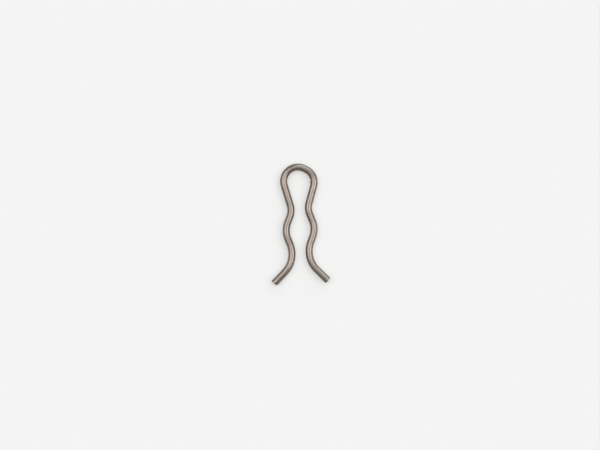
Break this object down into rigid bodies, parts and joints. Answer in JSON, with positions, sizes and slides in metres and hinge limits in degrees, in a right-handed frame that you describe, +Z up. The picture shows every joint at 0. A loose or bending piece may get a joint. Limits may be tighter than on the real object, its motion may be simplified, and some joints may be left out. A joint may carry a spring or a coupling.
{
  "type": "wire spring clip",
  "caption": "Round spring wire bent in one plane into a bow with waved legs and flared tails, which snaps sideways over a pin and grips it at the belly.",
  "frame": {"origin": "on the axis of the pin that the clip grips, midway between the legs at the belly, on the plane that the clip lies on", "axes": "+Y from the pin's axis towards the bow, +X towards the right leg seen from above with the bow away, +Z up, across the clip's plane and along the pin"},
  "size_m": [0.0183, 0.0378, 0.0022],
  "materials": {
    "spring_steel": "satin drawn spring wire, warm grey-brown"
  },
  "bodies": {
    "root": {"clip_wire": "spring_steel"}
  },
  "joints": []
}
